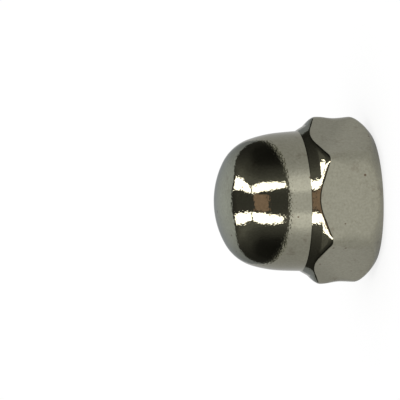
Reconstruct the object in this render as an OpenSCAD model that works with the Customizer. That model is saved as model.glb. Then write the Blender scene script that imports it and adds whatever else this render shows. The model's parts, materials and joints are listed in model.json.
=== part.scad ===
// Cap nut: a hexagon that carries a domed, closed end, with one blind threaded hole.
// The nut stands on its bearing ring: the origin is the centre of that ring and
// the thread axis is +Z. Two opposite flats face -Y and +Y. All lengths are in millimetres.

/* [Hexagon] */
// Width across the flats
flat_width = 15; // [14.6:0.1:17]
// Depth turned off each of the six sharp corners
corner_trim = 0.15; // [0.05:0.05:0.4]
// Height at which the upper chamfer would meet the side of the dome
hexagon_height = 7.3; // [6.4:0.1:8.6]
// Angle between the upper chamfer and the axis
upper_chamfer_angle = 41.5; // [35:0.5:50]
// Outer diameter of the flat bearing ring
ring_diameter = 13; // [12:0.1:13.6]
// Radius between the bearing ring and the lower chamfer
ring_edge_radius = 0.6; // [0.1:0.1:1]
// Angle between the lower chamfer and the bearing ring
lower_chamfer_angle = 42; // [30:1:50]

/* [Dome] */
// Height of the whole nut
nut_height = 15.95; // [15:0.05:18]
// Diameter of the dome's side where it would meet the upper chamfer
dome_diameter = 14.15; // [13.4:0.05:14.4]
// Lean of the dome's side towards the axis
side_taper = 3.5; // [1:0.5:5]
// Radius of the crown
crown_radius = 8.75; // [8:0.05:12]
// Radius of the shoulder between the side and the crown
shoulder_radius = 5.2; // [3:0.1:6]
// Radius of the hollow fillet at the foot of the dome
foot_fillet = 0.9; // [0.2:0.1:1.2]

/* [Threaded hole] */
// Diameter of the hole at the crests of the thread
crest_diameter = 8.47; // [7.6:0.01:8.9]
// Diameter of the thread at its roots
root_diameter = 9.53; // [9.2:0.01:9.6]
// Diameter of the countersink at the mouth
mouth_diameter = 10.3; // [9.8:0.1:11.4]
// Angle between the countersink and the axis
countersink_angle = 45; // [30:1:60]
// Depth from the bearing ring to the last full thread
thread_depth = 7.6; // [5:0.1:8.5]
// Gap between the roots of the thread and the wall of the runout beyond it
runout_clearance = 0.1; // [0.05:0.05:0.3]
// Depth from the bearing ring to the edge of the dished bottom
runout_depth = 11.4; // [10:0.1:12]
// Depth of the dish in the bottom of the hole
dish_depth = 1.4; // [0.4:0.1:1.6]

/* [Hidden] */
// Fineness of the turned surfaces
$fn = 96;
// Angle that one straight step spans along a rounded outline
arc_step = 4;
// How far a cutting shape reaches past the face that it opens
overcut = 1;

crest_r = crest_diameter / 2;
mouth_r = mouth_diameter / 2;
runout_r = root_diameter / 2 + runout_clearance;
dome_r = dome_diameter / 2;

// Bar: the radius over its sharp corners, and over the corner edges once turned
bar_r = flat_width / 2 / cos(30);
corner_r = bar_r - corner_trim;

// Bearing ring: its rounded edge turns up through the angle of the lower chamfer
ring_r = ring_diameter / 2;
ring_edge_end_r = ring_r + ring_edge_radius * sin(lower_chamfer_angle);
ring_edge_end_z = ring_edge_radius * (1 - cos(lower_chamfer_angle));

// Heights at which the two chamfers reach the corner edges
lower_corner_z = ring_edge_end_z + (corner_r - ring_edge_end_r) * tan(lower_chamfer_angle);
upper_corner_z = hexagon_height - (corner_r - dome_r) / tan(upper_chamfer_angle);

// Foot fillet: tangent to the tapered side and to the upper chamfer
fillet_reach = foot_fillet * tan((upper_chamfer_angle - side_taper) / 2);
fillet_x = dome_r - fillet_reach * sin(side_taper) + foot_fillet * cos(side_taper);
fillet_z = hexagon_height + fillet_reach * cos(side_taper) + foot_fillet * sin(side_taper);

// Crown and shoulder: the crown is centred on the axis. The shoulder's centre lies on the
// side's line moved inwards by the shoulder radius, so that it is tangent to the side. It is
// as far from the crown's centre as the two radii differ, so that it is tangent to the crown.
crown_z = nut_height - crown_radius;
foot_x = dome_r - shoulder_radius * cos(side_taper);
foot_z = hexagon_height - shoulder_radius * sin(side_taper) - crown_z;
foot_along = foot_z * cos(side_taper) - foot_x * sin(side_taper);
foot_distance = norm([foot_x, foot_z]);
centre_distance = crown_radius - shoulder_radius;
side_length = sqrt(foot_along ^ 2 + centre_distance ^ 2 - foot_distance ^ 2) - foot_along;
shoulder_x = foot_x - side_length * sin(side_taper);
shoulder_z = foot_z + side_length * cos(side_taper);
// Angle from the axis at which the crown passes into the shoulder
crown_angle = atan2(shoulder_x, shoulder_z);

// Dish: a spherical bottom that rises from the edge of the runout
dish_radius = (runout_r ^ 2 + dish_depth ^ 2) / (2 * dish_depth);
dish_z = runout_depth + dish_depth - dish_radius;
dish_angle = asin(runout_r / dish_radius);
countersink_depth = (mouth_r - crest_r) / tan(countersink_angle);

// Points of an arc in an outline, from one angle to another, both measured from +X
function arc(x, z, r, from, to) =
    let (steps = max(2, ceil(abs(to - from) / arc_step)))
    [for (i = [0:steps]) let (a = from + (to - from) * i / steps) [x + r * cos(a), z + r * sin(a)]];

// An arc that goes on from the last point of the one before it
function after_first(points) = [for (i = [1:len(points) - 1]) points[i]];

// Turned outline of the outside, from the bearing ring over the corner edges to the pole
module outer_outline() {
    polygon(concat(
        [[0, 0]],
        arc(ring_r, ring_edge_radius, ring_edge_radius, -90, lower_chamfer_angle - 90),
        [[corner_r, lower_corner_z], [corner_r, upper_corner_z]],
        arc(fillet_x, fillet_z, foot_fillet, 180 + upper_chamfer_angle, 180 + side_taper),
        arc(shoulder_x, shoulder_z + crown_z, shoulder_radius, side_taper, 90 - crown_angle),
        after_first(arc(0, crown_z, crown_radius, 90 - crown_angle, 90))
    ));
}

// Turned outline of the hole: countersink, thread crests, runout and dished bottom
module hole_outline() {
    polygon(concat(
        [[0, -overcut],
         [mouth_r + overcut * tan(countersink_angle), -overcut],
         [crest_r, countersink_depth],
         [crest_r, thread_depth],
         [runout_r, thread_depth + runout_r - crest_r]],
        arc(0, dish_z, dish_radius, 90 - dish_angle, 90)
    ));
}

// Hexagonal bar, with corners that point to -X and +X
module hexagon_bar() {
    cylinder(h = nut_height, r = bar_r, $fn = 6);
}

// The bar is turned to the outer outline and bored from the bearing ring
module cap_nut() {
    color([0.57, 0.56, 0.52])
        difference() {
            intersection() {
                hexagon_bar();
                rotate_extrude()
                    outer_outline();
            }
            rotate_extrude()
                hole_outline();
        }
}

cap_nut();
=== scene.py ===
"""A nickel-plated cap nut with its thread, on a white sheet in a light tent.

The nut stands on its bearing ring at the origin, with the thread axis along +Z. Sizes are in
millimetres and directions are unit vectors, until a mesh is written in metres.
"""
import json
import math

import bpy
import numpy as np
from mathutils import Matrix, Vector

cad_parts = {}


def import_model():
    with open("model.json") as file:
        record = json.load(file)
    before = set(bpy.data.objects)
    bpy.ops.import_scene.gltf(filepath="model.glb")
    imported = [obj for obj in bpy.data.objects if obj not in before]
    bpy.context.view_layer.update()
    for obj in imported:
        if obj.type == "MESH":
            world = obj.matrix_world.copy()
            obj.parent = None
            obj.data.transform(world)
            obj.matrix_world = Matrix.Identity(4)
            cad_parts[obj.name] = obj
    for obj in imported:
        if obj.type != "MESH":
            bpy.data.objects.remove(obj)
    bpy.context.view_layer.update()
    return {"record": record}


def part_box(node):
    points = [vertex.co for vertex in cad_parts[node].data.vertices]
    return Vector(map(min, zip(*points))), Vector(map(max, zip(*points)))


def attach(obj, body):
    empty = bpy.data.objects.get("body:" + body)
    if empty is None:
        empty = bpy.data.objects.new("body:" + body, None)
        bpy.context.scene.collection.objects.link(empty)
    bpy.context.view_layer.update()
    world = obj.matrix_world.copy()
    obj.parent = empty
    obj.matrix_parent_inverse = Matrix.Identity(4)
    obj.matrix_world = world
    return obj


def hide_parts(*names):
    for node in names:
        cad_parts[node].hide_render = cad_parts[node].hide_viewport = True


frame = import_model()

MM = 0.001

# Overall sizes of the nut, taken from the frame
NUT_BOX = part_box("cap_nut")
FLAT = NUT_BOX[1][1] / MM
CORNER = NUT_BOX[1][0] / MM
HEIGHT = NUT_BOX[1][2] / MM
THREAD_MOUNT = next(m for m in frame["record"]["mounts"] if m["kind"] == "threaded_hole")

# Dome: a side that leans in a little, a belly, a shoulder and the crown, each tangent to the next
CROWN_RADIUS = 8.89
SHOULDER_LEAN = math.radians(18.35)
BELLY_RADIUS = 12.2
BELLY_LEAN = math.radians(4.49)
BELLY_HEIGHT = 9.45
SIDE_HEIGHT = 7.87
FOOT_LEAN = math.radians(2.47)
FOOT_RADIUS = 7.09
FOOT_HEIGHT = 7.44
FOOT_FILLET = 0.3

# Upper chamfer: a cone up to a crease, flatter facets in the corners, and a bevel along the flats' edges
CHAMFER_LEAN = math.radians(30.5)
CREASE_RADIUS = 7.66
CREASE_SOFTNESS = 0.02
FACET_LEAN = math.radians(49.0)
BEVEL_AT_FLAT = 0.18
BEVEL_AT_CORNER = 0.24
BEVEL_SOFTNESS = 0.03
EDGE_HEIGHT = 6.73
EDGE_FALL = 0.43
EDGE_BEND = 1.6
EDGE_ROUND = 0.7

# Corner edges: their rounding is wider in the middle, which draws the edge in
ROUND_ABOVE = 1.24
ROUND_AT_WAIST = 2.45
ROUND_BELOW = 1.85
WAIST_HEIGHT = 3.45
WAIST_REACH_UP = 1.8
WAIST_REACH_DOWN = 1.8

# Bearing end: the lower chamfer is a little crowned
RING_RADIUS = 6.5
RING_EDGE_ROUND = 0.6
RING_EDGE_TURN = math.radians(55.0)
LOWER_RADIUS = 6.0
LOWER_ROUND_AT_FLAT = 0.35
LOWER_ROUND_AT_CORNER = 1.0

# Threaded hole: crests from the mount, roots and pitch of a 9.53 mm thread with 26 turns to the inch
CREST_RADIUS = THREAD_MOUNT["dims"]["r_mm"]
ROOT_RADIUS = 4.765
PITCH = 25.4 / 26
MOUTH_RADIUS = 5.15
MOUTH_ROUND = 0.12
THREAD_DEPTH = 7.6
RUNOUT_RADIUS = 4.865
RUNOUT_DEPTH = 11.4
DISH_DEPTH = 1.4


def linear(code):
    """An sRGB colour written as hex, turned to linear light."""
    parts = [int(code[i:i + 2], 16) / 255 for i in (1, 3, 5)]
    curved = [c / 12.92 if c <= 0.04045 else ((c + 0.055) / 1.055) ** 2.4 for c in parts]
    return (*curved, 1.0)


def node(tree, kind, settings=None, links=None):
    """Adds a node, sets its properties and sockets by name, and links its inputs."""
    made = tree.nodes.new(kind)
    for name, value in (settings or {}).items():
        if isinstance(name, str) and hasattr(made, name):
            setattr(made, name, value)
        else:
            made.inputs[name].default_value = value
    for name, source in (links or {}).items():
        tree.links.new(source, made.inputs[name])
    return made


def set_ramp(ramp, stops):
    """Puts grey stops on a colour ramp, from pairs of a place and a brightness."""
    while len(ramp.elements) < len(stops):
        ramp.elements.new(1.0)
    for element, (place, value) in zip(ramp.elements, stops):
        element.position = place
        element.color = (value, value, value, 1)


def new_tree(name):
    """A new material with an empty node tree."""
    material = bpy.data.materials.new(name)
    material.use_nodes = True
    material.node_tree.nodes.clear()
    return material, material.node_tree


def new_mesh(name, points, faces, material, smooth=True):
    """An object at the origin from points in millimetres and faces as index rows."""
    mesh = bpy.data.meshes.new(name)
    mesh.from_pydata((points * MM).tolist(), [], faces)
    mesh.polygons.foreach_set("use_smooth", np.full(len(mesh.polygons), smooth))
    mesh.materials.append(material)
    mesh.update()
    made = bpy.data.objects.new(name, mesh)
    bpy.context.scene.collection.objects.link(made)
    return made


def grid_faces(rows, columns, closed):
    """Quads of a grid whose points run along each row; a closed grid joins its last column to its first."""
    last = columns if closed else columns - 1
    i, j = np.meshgrid(np.arange(rows - 1), np.arange(last), indexing="ij")
    k = (j + 1) % columns
    corners = [i * columns + j, i * columns + k, (i + 1) * columns + k, (i + 1) * columns + j]
    return np.stack([c.ravel() for c in corners], axis=1).tolist()


# The nut's mesh

FINE_SPAN = 9.0
FINE_STEP = 0.75
WIDE_STEPS = 21


def column_angles():
    """Angles of the columns: fine steps over each corner's rounding, wider ones over the flats."""
    fine = np.arange(-FINE_SPAN, FINE_SPAN, FINE_STEP)
    wide = np.linspace(FINE_SPAN, 60 - FINE_SPAN, WIDE_STEPS, endpoint=False)
    sector = np.concatenate([fine, wide])
    return np.radians((sector + 60 * np.arange(6)[:, None]).ravel())


ANGLES = column_angles()


def arc(x, z, radius, start, stop, steps):
    """Points of an arc in a section, as two columns r and z; angles run from +r towards +z."""
    a = np.linspace(start, stop, steps + 1)
    return np.stack([x + radius * np.cos(a), z + radius * np.sin(a)], axis=1)


def wall_radius(angle, z):
    """Distance of the hexagon's side from the axis: a flat is FLAT over the cosine of the angle from
    its normal, and a corner is an arc that touches both flats. The arc's radius follows a raised
    cosine along the edge, from its value at either end to its value at the waist."""
    above = z > WAIST_HEIGHT
    reach = np.where(above, WAIST_REACH_UP, WAIST_REACH_DOWN)
    end = np.where(above, ROUND_ABOVE, ROUND_BELOW)
    swell = 0.5 + 0.5 * np.cos(np.pi * np.clip((z - WAIST_HEIGHT) / reach, -1, 1))
    c = end + (ROUND_AT_WAIST - end) * swell
    half = math.radians(30)
    turn = (angle + half) % (2 * half) - half
    flat = FLAT / np.cos(half - np.abs(turn))
    centre = (FLAT - c) / math.cos(half)
    rounded = centre * np.cos(turn) + np.sqrt(np.maximum(c ** 2 - (centre * np.sin(turn)) ** 2, 0))
    touch = half - np.arctan((FLAT - c) * math.tan(half) / FLAT)
    return np.where(np.abs(turn) < touch, rounded, flat)


def corner_share(wall):
    """Way along the flat from its centre (0) to the corner (1), squared."""
    return (wall ** 2 - FLAT ** 2) / (wall.max() ** 2 - FLAT ** 2)


def turned(section):
    """Rows of points for a turned stretch: the same r and z in every column."""
    r = np.repeat(section[:, :1], len(ANGLES), axis=1)
    z = np.repeat(section[:, 1:], len(ANGLES), axis=1)
    return r, z


def dome_section():
    """Outline of the dome from the pole to the foot, as four arcs, each tangent to the next. The
    crown's centre lies on the axis, a crown radius under the pole. The shoulder's radius follows
    from its two ends: its centre is as far from the crown's as the two radii differ."""
    side_r = FOOT_RADIUS - (SIDE_HEIGHT - FOOT_HEIGHT) * math.tan(FOOT_LEAN)
    radius = (BELLY_HEIGHT - SIDE_HEIGHT) / (math.sin(BELLY_LEAN) - math.sin(FOOT_LEAN))
    side = arc(side_r - radius * math.cos(FOOT_LEAN), SIDE_HEIGHT - radius * math.sin(FOOT_LEAN),
               radius, BELLY_LEAN, FOOT_LEAN, 12)
    belly = arc(side[0, 0] - BELLY_RADIUS * math.cos(BELLY_LEAN),
                side[0, 1] - BELLY_RADIUS * math.sin(BELLY_LEAN), BELLY_RADIUS, SHOULDER_LEAN, BELLY_LEAN, 16)
    crown_z = HEIGHT - CROWN_RADIUS
    r, h = belly[0, 0], belly[0, 1] - crown_z
    across, along = math.cos(SHOULDER_LEAN), math.sin(SHOULDER_LEAN)
    shoulder_radius = (CROWN_RADIUS ** 2 - r ** 2 - h ** 2) / (2 * (CROWN_RADIUS - r * across - h * along))
    shoulder_r = r - shoulder_radius * across
    shoulder_h = h - shoulder_radius * along
    crown_lean = math.atan2(shoulder_h, shoulder_r)
    shoulder = arc(shoulder_r, crown_z + shoulder_h, shoulder_radius, crown_lean, SHOULDER_LEAN, 22)
    crown = arc(0, crown_z, CROWN_RADIUS, math.radians(90), crown_lean, 18)
    return np.concatenate([crown, shoulder[1:], belly[1:], side[1:]])


def soft_ramp(t, width):
    """Zero, then a line of slope one from t = 0 on, with a rounded bend of the given width."""
    return (t + np.sqrt(t ** 2 + width ** 2)) / 2


def chamfer_rows():
    """Foot fillet, upper chamfer and the rounded edge. The chamfer is a cone, made flatter by a soft ramp
    outside the crease. Within the bevel's width of the wall a second soft ramp lowers it to the edge,
    whose height falls from a flat's centre along a hyperbola. An arc turns it into the side."""
    wall = wall_radius(ANGLES, np.full(len(ANGLES), WAIST_HEIGHT + WAIST_REACH_UP))
    width = BEVEL_AT_FLAT + (BEVEL_AT_CORNER - BEVEL_AT_FLAT) * corner_share(wall)
    edge = EDGE_HEIGHT - EDGE_FALL * (np.sqrt(wall ** 2 - FLAT ** 2 + EDGE_BEND ** 2) - EDGE_BEND)
    steep = 1 / math.tan(CHAMFER_LEAN)
    gain = steep - 1 / math.tan(FACET_LEAN)

    def cone(r):
        return (FOOT_HEIGHT - (r - FOOT_RADIUS) * steep
                + gain * soft_ramp(r - CREASE_RADIUS, CREASE_SOFTNESS))

    drop = (cone(wall) - edge) / soft_ramp(width, BEVEL_SOFTNESS)

    def height(r):
        return cone(r) - drop * soft_ramp(r - wall + width, BEVEL_SOFTNESS)

    reach = FOOT_FILLET * math.tan((CHAMFER_LEAN - FOOT_LEAN) / 2)
    fillet = arc(FOOT_RADIUS - reach * math.sin(FOOT_LEAN) + FOOT_FILLET * math.cos(FOOT_LEAN),
                 FOOT_HEIGHT + reach * math.cos(FOOT_LEAN) + FOOT_FILLET * math.sin(FOOT_LEAN),
                 FOOT_FILLET, math.pi + FOOT_LEAN, math.pi + CHAMFER_LEAN, 8)
    fillet_r, fillet_z = turned(fillet)
    lean = np.arctan(0.02 / (height(wall - 0.06) - height(wall - 0.04)))
    reach = EDGE_ROUND * np.tan(lean / 2)
    stop = wall - reach * np.sin(lean)
    cone_r = fillet_r[-1] + (stop - fillet_r[-1]) * np.linspace(0, 1, 37)[1:, None]
    cone_z = height(cone_r)
    a = lean * np.linspace(1, 0, 9)[1:, None]
    bend_r = wall - EDGE_ROUND * (1 - np.cos(a))
    bend_z = edge - reach + EDGE_ROUND * np.sin(a)
    bend_z += (cone_z[-1] - (edge - reach + EDGE_ROUND * np.sin(lean))) * (a / lean)
    return np.concatenate([fillet_r, cone_r, bend_r]), np.concatenate([fillet_z, cone_z, bend_z])


def lower_rows(top):
    """Side, lower rounding, lower chamfer and the bearing ring's edge. The side runs down from the given
    heights to where the rounding starts. The rounding turns from upright to the slope of the chamfer,
    which is an arc whose steepness at the wall follows from the wall's radius."""
    ring = arc(RING_RADIUS, RING_EDGE_ROUND, RING_EDGE_ROUND, -RING_EDGE_TURN, -math.pi / 2, 6)
    centre_r = ring[0, 0] - LOWER_RADIUS * math.cos(RING_EDGE_TURN)
    centre_z = ring[0, 1] + LOWER_RADIUS * math.sin(RING_EDGE_TURN)
    end = wall_radius(ANGLES, np.full(len(ANGLES), WAIST_HEIGHT - WAIST_REACH_DOWN))
    turn = np.arccos((end - centre_r) / LOWER_RADIUS)
    meet = centre_z - LOWER_RADIUS * np.sin(turn)
    edge_round = LOWER_ROUND_AT_FLAT + (LOWER_ROUND_AT_CORNER - LOWER_ROUND_AT_FLAT) * corner_share(end)
    start = meet + edge_round * np.tan(turn / 2)
    t = np.concatenate([[0.02], np.linspace(0.06, 0.94, 20), [0.98, 1.0]])[:, None]
    side_z = top - (top - start) * t
    side_r = wall_radius(ANGLES[None, :], side_z)
    a = turn * np.linspace(0, 1, 9)[1:, None]
    bend_r = end - edge_round * (1 - np.cos(a))
    bend_z = start - edge_round * np.sin(a)
    t = np.linspace(0, 1, 13)[1:, None]
    cone_r = bend_r[-1] + (ring[0, 0] - bend_r[-1]) * t
    cone_z = centre_z - np.sqrt(LOWER_RADIUS ** 2 - (cone_r - centre_r) ** 2)
    cone_z += (bend_z[-1] - centre_z + np.sqrt(LOWER_RADIUS ** 2 - (bend_r[-1] - centre_r) ** 2)) * (1 - t)
    ring_r, ring_z = turned(ring[1:])
    return np.concatenate([side_r, bend_r, cone_r, ring_r]), np.concatenate([side_z, bend_z, cone_z, ring_z])


THREAD_ROWS_PER_TURN = 16


def thread_radius(angle, z):
    """Radius of a right-hand 60 degree thread: the height over the pitch, less the share of a turn,
    gives the place in the groove, whose depth is flat at the root, falls along two straight flanks
    and is flat at the crest."""
    place = np.abs((z / PITCH - angle / (2 * math.pi)) % 1 - 0.5)
    depth = ROOT_RADIUS - CREST_RADIUS
    root_flat = 1 / 16
    flank = depth * math.tan(math.radians(30)) / PITCH
    share = np.clip(1 - (place - root_flat) / flank, 0, 1)
    soft = share * share * (3 - 2 * share)
    return CREST_RADIUS + depth * (0.75 * share + 0.25 * soft)


def hole_rows():
    """Bearing ring, mouth, countersink, thread, runout and dished bottom, from the ring inwards. The
    hole's radius is the largest of the countersink, the thread and the runout cone."""
    ring_r, ring_z = turned(np.array([[RING_RADIUS - 0.08, 0], [6.1, 0], [5.6, 0],
                                      [MOUTH_RADIUS + 0.13, 0]]))
    turn = math.radians(45)
    mouth = arc(MOUTH_RADIUS + MOUTH_ROUND * math.tan(turn / 2), MOUTH_ROUND, MOUTH_ROUND,
                -math.pi / 2, -math.pi / 2 - turn, 4)
    mouth_r, mouth_z = turned(mouth)
    start = mouth[-1, 1] + 0.02
    stop = THREAD_DEPTH + RUNOUT_RADIUS - CREST_RADIUS
    steps = math.ceil((stop - start) / PITCH * THREAD_ROWS_PER_TURN)
    z = np.linspace(start, stop, steps + 1)[:, None] + np.zeros(len(ANGLES))
    sink = MOUTH_RADIUS - z
    runout = CREST_RADIUS + z - THREAD_DEPTH
    r = np.maximum(thread_radius(ANGLES[None, :], z), np.maximum(sink, runout))
    r = np.minimum(r, np.maximum(RUNOUT_RADIUS, sink))
    dish_radius = (RUNOUT_RADIUS ** 2 + DISH_DEPTH ** 2) / (2 * DISH_DEPTH)
    dish_angle = math.asin(RUNOUT_RADIUS / dish_radius)
    dish_z = RUNOUT_DEPTH + DISH_DEPTH - dish_radius
    dish = arc(0, dish_z, dish_radius, math.pi / 2 - dish_angle, math.pi / 2, 14)
    wall = np.stack([np.full(7, RUNOUT_RADIUS), np.linspace(stop + 0.05, RUNOUT_DEPTH - 0.05, 7)], axis=1)
    end_r, end_z = turned(np.concatenate([wall, dish]))
    return (np.concatenate([ring_r, mouth_r, r, end_r]), np.concatenate([ring_z, mouth_z, z, end_z]))


def nut_mesh(material):
    """One closed grid: rows run from the dome's pole over the outside, round the bearing ring and up
    the hole to the pole of its dished bottom; each pole is one point with a fan of triangles."""
    dome = dome_section()
    dome_r, dome_z = turned(dome[1:])
    top_r, top_z = chamfer_rows()
    low_r, low_z = lower_rows(top_z[-1])
    in_r, in_z = hole_rows()
    r = np.concatenate([dome_r, top_r, low_r, in_r[:-1]])
    z = np.concatenate([dome_z, top_z, low_z, in_z[:-1]])
    rows, columns = r.shape
    grid = np.stack([r * np.cos(ANGLES), r * np.sin(ANGLES), z], axis=2).reshape(-1, 3)
    points = np.concatenate([grid, [[0, 0, HEIGHT]], [[0, 0, in_z[-1, 0]]]])
    faces = [face[::-1] for face in grid_faces(rows, columns, closed=True)]
    k = np.arange(columns)
    after = (k + 1) % columns
    last = (rows - 1) * columns
    faces += np.stack([k, after, np.full(columns, rows * columns)], axis=1).tolist()
    faces += np.stack([last + after, last + k, np.full(columns, rows * columns + 1)], axis=1).tolist()
    return new_mesh("nickel_cap_nut", points, faces, material)


# Materials

# Painted light on the sheet, seen only in reflections, from the front (0) round to the back (1); the sheet glows by
# itself and no lamp lights this pattern. Near the nut it dims evenly; further out it is painted brightest under the
# lamps.
NEAR_PAINTED_LIGHT = [(0.0, 0.44), (0.03, 0.42), (0.10, 0.28), (0.20, 0.18), (0.35, 0.16), (0.5, 0.17), (0.62, 0.16),
              (0.66, 0.06), (1.0, 0.05)]
FAR_PAINTED_LIGHT = [(0.0, 0.43), (0.013, 0.45), (0.03, 0.96), (0.10, 0.80), (0.15, 0.45), (0.21, 0.22),
             (0.30, 0.10), (0.50, 0.06), (1.0, 0.03)]


def bright_nickel():
    """Bright nickel plate over barrel-polished brass: a mirror with a warm grey cast, whose fine peel
    frays every reflected edge, with a few dark specks and faint brown stains."""
    material, tree = new_tree("bright_nickel_plate")
    texture_place = node(tree, "ShaderNodeTexCoord")
    place = texture_place.outputs["Object"]
    # The dome, from its foot up, and the chamfer that leans upwards are turned; the flats are drawn
    part = node(tree, "ShaderNodeSeparateXYZ", links={"Vector": place})
    on_dome = node(tree, "ShaderNodeMapRange", {"From Min": 6.8 * MM, "From Max": 7.4 * MM},
                   {"Value": part.outputs["Z"]})
    facing = node(tree, "ShaderNodeSeparateXYZ", links={"Vector": texture_place.outputs["Normal"]})
    on_chamfer = node(tree, "ShaderNodeMapRange", {"From Min": 0.1, "From Max": 0.4},
                      {"Value": facing.outputs["Z"]})
    turned_share = node(tree, "ShaderNodeMath", {"operation": "MAXIMUM"},
                        {0: on_dome.outputs["Result"], 1: on_chamfer.outputs["Result"]})
    strength = node(tree, "ShaderNodeMapRange", {"To Min": 0.12, "To Max": 1.0},
                    {"Value": turned_share.outputs[0]})
    # Peel about 0.25 mm across, fainter on the flats, over soft unevenness about 1.2 mm across
    peel = node(tree, "ShaderNodeTexNoise", {"Scale": 1 / (0.24 * MM), "Detail": 1.0, "Roughness": 0.5},
                {"Vector": place})
    fine = node(tree, "ShaderNodeBump", {"Distance": 0.0085 * MM},
                {"Height": peel.outputs["Fac"], "Strength": strength.outputs["Result"]})
    uneven = node(tree, "ShaderNodeTexNoise", {"Scale": 1 / (1.2 * MM), "Detail": 1.0}, {"Vector": place})
    wide = node(tree, "ShaderNodeBump", {"Strength": 1.0, "Distance": 0.005 * MM},
                {"Height": uneven.outputs["Fac"], "Normal": fine.outputs["Normal"]})
    # Specks about 0.1 mm across, in every fourth cell of a 0.8 mm mesh, with their own share of stain
    cells = node(tree, "ShaderNodeTexVoronoi", {"Scale": 1 / (0.8 * MM)}, {"Vector": place})
    chance = node(tree, "ShaderNodeSeparateColor", links={"Color": cells.outputs["Color"]})
    reach = node(tree, "ShaderNodeMapRange", {"From Min": 0.75, "To Min": 0.0, "To Max": 0.19},
                 {"Value": chance.outputs["Red"]})
    speck = node(tree, "ShaderNodeMath", {"operation": "LESS_THAN"},
                 {0: cells.outputs["Distance"], 1: reach.outputs["Result"]})
    spotted = node(tree, "ShaderNodeMath", {"operation": "MULTIPLY", 1: 0.85}, {0: speck.outputs[0]})
    # Stains some 2 mm long, where the plate has worn thin
    worn = node(tree, "ShaderNodeTexNoise", {"Scale": 1 / (1.9 * MM), "Detail": 6.0, "Roughness": 0.75},
                {"Vector": place})
    stain = node(tree, "ShaderNodeMapRange", {"From Min": 0.56, "From Max": 0.78, "To Max": 0.6},
                 {"Value": worn.outputs["Fac"]})
    both = node(tree, "ShaderNodeMath", {"operation": "MAXIMUM"}, {0: stain.outputs["Result"], 1: spotted.outputs[0]})
    plate = node(tree, "ShaderNodeMix", {"data_type": "RGBA", "A": linear("#a19f8f"), "B": linear("#898777")},
                 {"Factor": peel.outputs["Fac"]})
    base = node(tree, "ShaderNodeMix", {"data_type": "RGBA", "B": linear("#5f4f40")},
                {"Factor": both.outputs[0], "A": plate.outputs["Result"]})
    rough = node(tree, "ShaderNodeMapRange", {"To Min": 0.01, "To Max": 0.07}, {"Value": worn.outputs["Fac"]})
    shader = node(tree, "ShaderNodeBsdfPrincipled", {"Metallic": 1.0},
                  {"Base Color": base.outputs["Result"], "Roughness": rough.outputs["Result"],
                   "Normal": wide.outputs["Normal"]})
    node(tree, "ShaderNodeOutputMaterial", links={"Surface": shader.outputs["BSDF"]})
    return material


def white_sheet():
    """The matt white sheet. For the camera most of it is plain white, so that its shadow stays pale, and
    from below it lets the camera through. In reflections half of it is painted light, brighter or darker
    by its direction and distance from the nut; no lamp lights that part."""
    material, tree = new_tree("matt_white_sheet")
    place = node(tree, "ShaderNodeTexCoord").outputs["Object"]
    flat = node(tree, "ShaderNodeVectorMath", {"operation": "MULTIPLY", 1: (1, 1, 0)}, {0: place})
    way = node(tree, "ShaderNodeVectorMath", {"operation": "NORMALIZE"}, {0: flat.outputs[0]})
    back = node(tree, "ShaderNodeVectorMath", {"operation": "DOT_PRODUCT", 1: (0.04, 0.999, 0)},
                {0: way.outputs[0]})
    round_it = node(tree, "ShaderNodeMapRange", {"From Min": -1, "From Max": 1}, {"Value": back.outputs["Value"]})
    near = node(tree, "ShaderNodeValToRGB", links={"Fac": round_it.outputs["Result"]})
    set_ramp(near.color_ramp, NEAR_PAINTED_LIGHT)
    far = node(tree, "ShaderNodeValToRGB", links={"Fac": round_it.outputs["Result"]})
    set_ramp(far.color_ramp, FAR_PAINTED_LIGHT)
    # Painted light: in reflections the sheet's brightness is set by its direction and distance from the nut, not by
    # any lamp
    distance = node(tree, "ShaderNodeVectorMath", {"operation": "LENGTH"}, {0: flat.outputs[0]})
    out = node(tree, "ShaderNodeMapRange", {"From Min": 35 * MM, "From Max": 60 * MM},
               {"Value": distance.outputs["Value"]})
    painted_fall = node(tree, "ShaderNodeMix", {"data_type": "RGBA"},
                {"Factor": out.outputs["Result"], "A": near.outputs["Color"], "B": far.outputs["Color"]})
    path = node(tree, "ShaderNodeLightPath")
    # The camera sees plain white; reflections see the painted light
    light = node(tree, "ShaderNodeMix", {"data_type": "RGBA", "B": (0.5, 0.5, 0.5, 1)},
                 {"Factor": path.outputs["Is Camera Ray"], "A": painted_fall.outputs["Result"]})
    mirrored = node(tree, "ShaderNodeMath", {"operation": "ADD"},
                    {0: path.outputs["Is Glossy Ray"], 1: path.outputs["Is Transmission Ray"]})
    half = node(tree, "ShaderNodeMath", {"operation": "MULTIPLY", 1: 0.5}, {0: mirrored.outputs[0]})
    share = node(tree, "ShaderNodeMath", {"operation": "MULTIPLY_ADD", 1: 0.8},
                 {0: path.outputs["Is Camera Ray"], 2: half.outputs[0]})
    matt = node(tree, "ShaderNodeBsdfDiffuse", {"Color": (0.88, 0.88, 0.88, 1)})
    glow = node(tree, "ShaderNodeEmission", {"Strength": 2.0}, {"Color": light.outputs["Result"]})
    mix = node(tree, "ShaderNodeMixShader", links={"Fac": share.outputs[0], 1: matt.outputs["BSDF"],
                                                   2: glow.outputs["Emission"]})
    under = node(tree, "ShaderNodeMath", {"operation": "MULTIPLY"},
                 {0: path.outputs["Is Camera Ray"],
                  1: node(tree, "ShaderNodeNewGeometry").outputs["Backfacing"]})
    clear = node(tree, "ShaderNodeBsdfTransparent")
    both = node(tree, "ShaderNodeMixShader", links={"Fac": under.outputs[0], 1: mix.outputs["Shader"],
                                                    2: clear.outputs["BSDF"]})
    node(tree, "ShaderNodeOutputMaterial", links={"Surface": both.outputs["Shader"]})
    return material


def glowing(name, code, strength):
    """A card with one plain colour of light."""
    material, tree = new_tree(name)
    glow = node(tree, "ShaderNodeEmission", {"Color": linear(code), "Strength": strength})
    node(tree, "ShaderNodeOutputMaterial", links={"Surface": glow.outputs["Emission"]})
    return material


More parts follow.
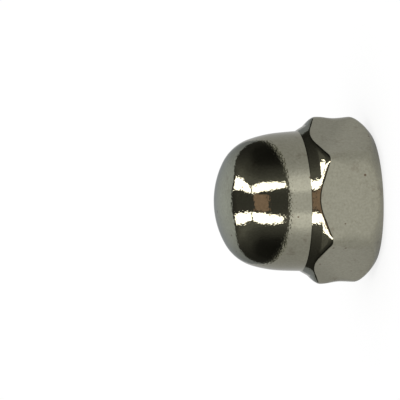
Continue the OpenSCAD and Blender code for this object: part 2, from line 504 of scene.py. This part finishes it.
def painted_glow_card(name, code, far, across, blend, up, behind=1.0):
    """A card that glows by itself with painted light, as no lamp lights it. Its light follows its distance to
    the side, from 0 to a distance in millimetres, blended with a light that follows its height over the
    same distance. The share of it that is left behind the nut may be smaller, a painted shade."""
    material, tree = new_tree(name)
    place = node(tree, "ShaderNodeTexCoord").outputs["Object"]
    part = node(tree, "ShaderNodeSeparateXYZ", links={"Vector": place})
    size = node(tree, "ShaderNodeMath", {"operation": "ABSOLUTE"}, {0: part.outputs["X"]})
    side = node(tree, "ShaderNodeMapRange", {"From Max": far * MM}, {"Value": size.outputs[0]})
    side_fade = node(tree, "ShaderNodeValToRGB", links={"Fac": side.outputs["Result"]})
    set_ramp(side_fade.color_ramp, across)
    height = node(tree, "ShaderNodeMapRange", {"From Max": far * MM}, {"Value": part.outputs["Z"]})
    height_fade = node(tree, "ShaderNodeValToRGB", links={"Fac": height.outputs["Result"]})
    set_ramp(height_fade.color_ramp, up)
    light = node(tree, "ShaderNodeMix", {"data_type": "RGBA", "blend_type": blend, "Factor": 1.0},
                 {"A": side_fade.outputs["Color"], "B": height_fade.outputs["Color"]})
    tint = node(tree, "ShaderNodeMix", {"data_type": "RGBA", "blend_type": "MULTIPLY", "Factor": 1.0,
                                        "B": linear(code)}, {"A": light.outputs["Result"]})
    glow = node(tree, "ShaderNodeEmission", {"Strength": 1.0}, {"Color": tint.outputs["Result"]})
    # Painted shade: the card is dimmer behind the nut
    if behind < 1.0:
        left = node(tree, "ShaderNodeMapRange",
                    {"From Min": 0.15 * far * MM, "From Max": 0.6 * far * MM, "To Min": 1.0, "To Max": behind},
                    {"Value": part.outputs["Y"]})
        tree.links.new(left.outputs["Result"], glow.inputs["Strength"])
    node(tree, "ShaderNodeOutputMaterial", links={"Surface": glow.outputs["Emission"]})
    return material


# Stage: cards round the nut, seen only in reflections and placed by the direction in which the nut sees them; apart
# from the strip lamps they glow by themselves, as painted light and painted shade

SHEET_RADIUS = 496.0
SHEET_DROP = 0.02
WALL_DISTANCE = 540.0
SHADE_CARD_DISTANCE = 500.0
LAMP_DISTANCE = 480.0
BACK_GAP_LEAN = math.radians(13.5)
BACK_GAP_HALF = math.radians(50.5)
BACK_GAP_SIDE = 0.62


def sheet():
    """The round white sheet under the nut, a hair below it."""
    a = np.radians(np.arange(0, 360, 3))
    rim = np.stack([SHEET_RADIUS * np.cos(a), SHEET_RADIUS * np.sin(a), np.full(len(a), -SHEET_DROP)], axis=1)
    made = new_mesh("white_sheet", rim, [list(range(len(a)))], white_sheet(), smooth=False)
    return made


def card(name, directions, distance, material):
    """A card as a grid of directions, an array of rows, columns and x y z, seen from the nut's foot."""
    rows, columns, _ = directions.shape
    made = new_mesh(name, distance * directions.reshape(-1, 3), grid_faces(rows, columns, closed=False),
                    material)
    made.visible_camera = False
    made.visible_diffuse = False
    made.visible_shadow = False
    return made


def painted_shade_card():
    """Painted shade: a black card, seen only in reflections, for the dark side of the tent, where there is
    only shade. It covers all directions above the sheet, but for a gap at the back whose centre leans up.
    Its rim is a rounded window: the share of the angle from the centre and the share of the sideways limit,
    each raised to the fifth power, add up to one. A faint painted haze of light lies round the lamps, and a
    painted band of light runs along the horizon."""
    around = np.radians(np.linspace(-180, 180, 721))
    up = np.radians(np.linspace(0, 90, 400))
    centre = np.array([0, math.cos(BACK_GAP_LEAN), math.sin(BACK_GAP_LEAN)])
    a, e = np.meshgrid(around, up, indexing="ij")
    d = np.stack([np.cos(e) * np.sin(a), -np.cos(e) * np.cos(a), np.sin(e)], axis=2)
    angle_share = np.arccos(np.clip(d @ centre, -1, 1)) / BACK_GAP_HALF
    side_share = np.abs(d[..., 0]) / BACK_GAP_SIDE
    low = np.where(angle_share ** 5 + side_share ** 5 < 1, e, 0).max(axis=1)
    e = low[:, None] + (math.radians(89.9) - low[:, None]) * np.linspace(0, 1, 25)
    a = around[:, None] + 0 * e
    d = np.stack([np.cos(e) * np.sin(a), -np.cos(e) * np.cos(a), np.sin(e)], axis=2)
    # Painted light on the painted shade: a haze that is brightest round the lamps, and a bright band at the horizon
    haze = [(0.0, 0.09), (0.25, 0.10), (0.45, 0.20), (0.55, 0.22), (0.63, 0.16), (0.70, 0.12),
            (0.82, 0.08), (0.92, 0.03), (1.0, 0.016)]
    horizon = [(0.0, 0.6), (0.015, 0.28), (0.04, 0.08), (0.08, 0.0)]
    card("painted_shade_card", d, SHADE_CARD_DISTANCE,
         painted_glow_card("painted_shade_cloth", "#fffff2", SHADE_CARD_DISTANCE, haze, "LIGHTEN", horizon, behind=0.36))


def strip(name, turns, inner, outer, material):
    """A lamp or card between two sideways limits. Each limit is given at a few turns from -Y towards +Z,
    in degrees, and runs straight between them."""
    turn = np.linspace(turns[0], turns[-1], 33)[:, None]
    s = np.linspace(0, 1, 9)[None, :]
    side = np.interp(turn, turns, inner) * (1 - s) + np.interp(turn, turns, outer) * s
    turn = np.radians(turn) + 0 * s
    flat = np.sqrt(1 - side ** 2)
    directions = np.stack([side, -np.cos(turn) * flat, np.sin(turn) * flat], axis=2)
    card(name, directions, LAMP_DISTANCE, material)


def lamps():
    """Two strip lamps over the front, each in two lengths, and the brown card between them, which glows by
    itself with painted light, as no lamp lights it.
    """
    light = glowing("lamp_cloth", "#fffaf2", 6.0)
    strip("lamp_low_right", (4, 14, 29, 52, 57), (0.39, 0.37, 0.31, 0.25, 0.25),
          (0.52, 0.54, 0.55, 0.44, 0.41), light)
    strip("lamp_low_left", (7, 15, 31, 54, 57), (-0.42, -0.38, -0.31, -0.26, -0.26),
          (-0.56, -0.60, -0.60, -0.49, -0.45), light)
    strip("lamp_high_right", (59.5, 63, 90, 113), (0.25, 0.25, 0.26, 0.19), (0.34, 0.40, 0.50, 0.42), light)
    strip("lamp_high_left", (59.5, 66, 89, 112), (-0.25, -0.24, -0.20, -0.17),
          (-0.38, -0.44, -0.43, -0.33), light)
    # Painted light: the brown card gives off its own light instead of being lit by the lamps
    strip("brown_card_painted_glow", (21, 50), (-0.27, -0.23), (0.22, 0.22), glowing("brown_card_painted_glow", "#bca08a", 1.0))


def back_card():
    """The pale wall behind the gap, seen only in reflections: blue grey, with painted light that is dim near
    the horizon and brighter overhead; the wall glows by itself and no lamp lights it.
    """
    out = np.radians(np.linspace(0, 62, 25))[:, None]
    around = np.radians(np.linspace(0, 360, 73))[None, :]
    axis = np.array([0, math.cos(BACK_GAP_LEAN), math.sin(BACK_GAP_LEAN)])
    side = np.array([1.0, 0, 0])
    up = np.cross(side, axis)
    d = (np.cos(out)[..., None] * axis + (np.sin(out) * np.cos(around))[..., None] * side
         + (np.sin(out) * np.sin(around))[..., None] * up)
    # Painted light on the wall: dim near the horizon, brighter overhead
    dim = [(0.0, 1.0), (0.3, 0.92), (0.45, 0.83), (1.0, 0.8)]
    fade = [(0.0, 0.40), (0.2, 0.45), (0.34, 0.56), (0.55, 0.74), (0.75, 0.87), (0.9, 0.82)]
    card("blue_grey_wall", d, WALL_DISTANCE,
         painted_glow_card("blue_grey_wall", "#f4fbff", WALL_DISTANCE, dim, "MULTIPLY", fade))


def sky_lamp():
    """One wide soft lamp overhead, a little to the front. It brings the sheet to white and gives the nut
    its shadow; reflections show the cards in its place."""
    data = bpy.data.lights.new("sky_lamp", "SUN")
    data.energy = 0.8
    data.angle = math.radians(60)
    made = bpy.data.objects.new("sky_lamp", data)
    made.rotation_euler = (math.radians(35), 0, 0)
    made.visible_glossy = False
    bpy.context.scene.collection.objects.link(made)


def world():
    """An even white world."""
    made = bpy.data.worlds.new("white_tent")
    made.use_nodes = True
    made.node_tree.nodes["Background"].inputs["Color"].default_value = (1, 1, 1, 1)
    made.node_tree.nodes["Background"].inputs["Strength"].default_value = 1.0
    bpy.context.scene.world = made


# Camera: the photograph's view, from places measured in its 400 by 400 pixels

IMAGE_PX = 400
SENSOR = 36.0
LENS = 720.0
ORIGIN_PX = (369.64, 198.67)
PX_PER_MM = 9.878
VIEW_LEAN = math.radians(11.96)
VIEW_ROLL = math.radians(1.86)


def camera():
    """Looks at the nut's middle from -Y, a little from above, rolled so that +X points up. The aim is
    moved off the nut's middle by as much as the photograph shows it off its own."""
    scale = PX_PER_MM
    distance = LENS * IMAGE_PX / (SENSOR * scale)
    back = Vector((0, -math.cos(VIEW_LEAN), math.sin(VIEW_LEAN)))
    right = Vector((0, -math.sin(VIEW_LEAN), -math.cos(VIEW_LEAN)))
    up = Vector((1, 0, 0))
    across = math.cos(VIEW_ROLL) * right - math.sin(VIEW_ROLL) * up
    upward = math.sin(VIEW_ROLL) * right + math.cos(VIEW_ROLL) * up
    middle = Vector((0, 0, HEIGHT / 2))
    off_x = (ORIGIN_PX[0] - IMAGE_PX / 2) / scale + middle.dot(across)
    off_y = (IMAGE_PX / 2 - ORIGIN_PX[1]) / scale + middle.dot(upward)
    place = middle + back * distance
    aim = middle - across * off_x - upward * off_y
    z = (place - aim).normalized()
    x = upward.cross(z).normalized()
    y = z.cross(x)
    data = bpy.data.cameras.new("camera")
    data.sensor_width = SENSOR
    data.lens = LENS
    data.clip_start, data.clip_end = 0.05, 20.0
    made = bpy.data.objects.new("camera", data)
    turn = Matrix((x, y, z)).transposed().to_4x4()
    made.matrix_world = Matrix.Translation(place * MM) @ turn
    bpy.context.scene.collection.objects.link(made)
    bpy.context.scene.camera = made


camera()
world()
sheet()
painted_shade_card()
back_card()
lamps()
sky_lamp()

nut = nut_mesh(bright_nickel())
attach(nut, "root")
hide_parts("cap_nut")

bpy.context.scene.view_settings.view_transform = "Standard"
